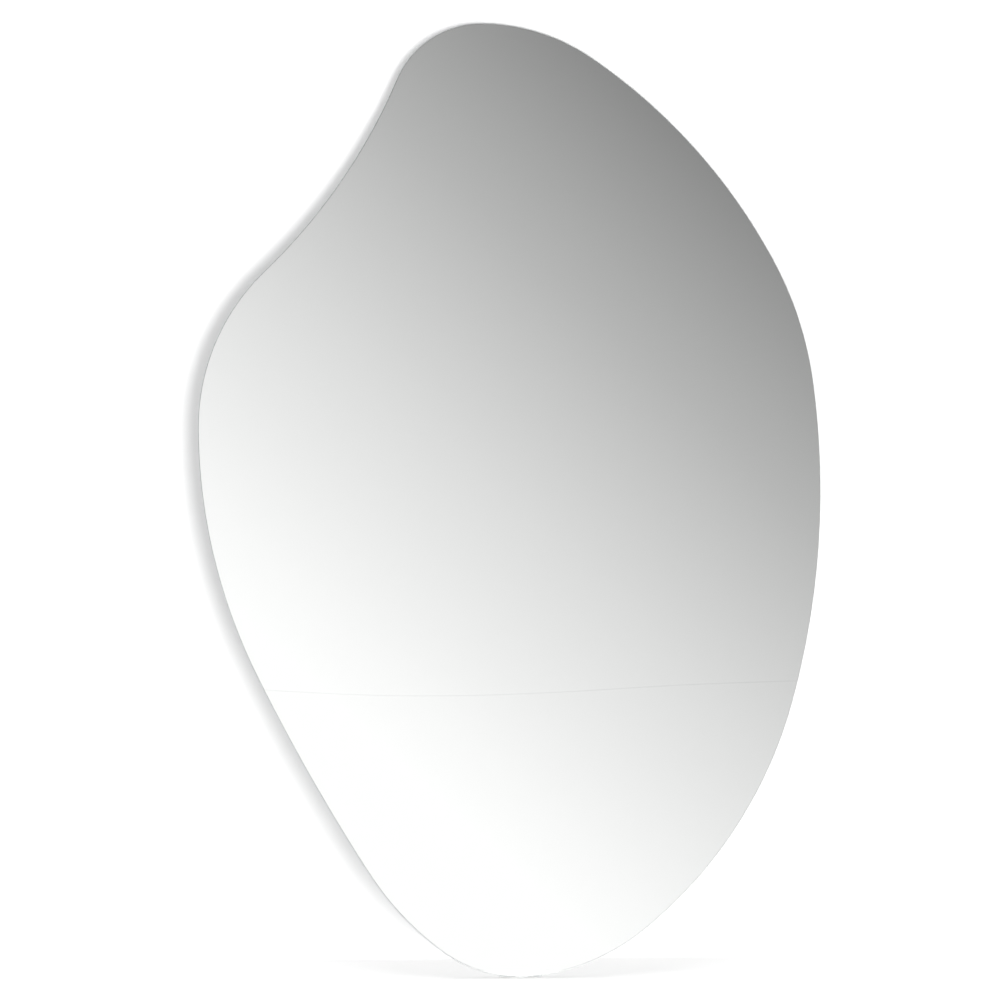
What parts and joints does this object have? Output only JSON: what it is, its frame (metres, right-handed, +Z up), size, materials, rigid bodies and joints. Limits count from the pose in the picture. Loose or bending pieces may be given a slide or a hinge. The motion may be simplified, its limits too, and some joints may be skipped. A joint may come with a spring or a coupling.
{
  "type": "irregular shaped mirror",
  "caption": "Frameless full-length mirror with a free pebble-like outline and a polished edge on a flush backing board, to lean on or hang from a wall.",
  "frame": {"origin": "on the floor under the middle of the outline's width and depth, with the mirror upright on its floor pads", "axes": "+Z up along the mirror's height, +X to the right seen from the front, +Y from the face through the glass towards the wall"},
  "size_m": [0.9811, 0.0218, 1.501],
  "materials": {
    "glass": "clear float glass with a polished round edge",
    "silvering": "silvered, with its protective paint",
    "safety_film": "satin vinyl",
    "foam_tape": "closed-cell foam",
    "adhesive": "cured mirror adhesive",
    "board": "fine fibreboard, unpainted",
    "plated_steel": "zinc plated",
    "bumper_rubber": "soft, frosted",
    "clear_rubber": "soft, frosted"
  },
  "bodies": {
    "root": {"mirror_glass": "glass", "silver_coating": "silvering", "safety_film": "safety_film", "tape_strip_1": "foam_tape", "tape_strip_2": "foam_tape", "tape_strip_3": "foam_tape", "tape_strip_4": "foam_tape", "tape_strip_5": "foam_tape", "tape_strip_6": "foam_tape", "adhesive_bead_1": "adhesive", "adhesive_bead_2": "adhesive", "adhesive_bead_3": "adhesive", "adhesive_bead_4": "adhesive", "adhesive_bead_5": "adhesive", "backing_board": "board", "hanger_plate_left": "plated_steel", "floor_pad_left": "clear_rubber", "hanger_plate_right": "plated_steel", "floor_pad_right": "clear_rubber", "hanger_screws": "plated_steel", "wall_bumpers": "bumper_rubber"}
  },
  "joints": []
}
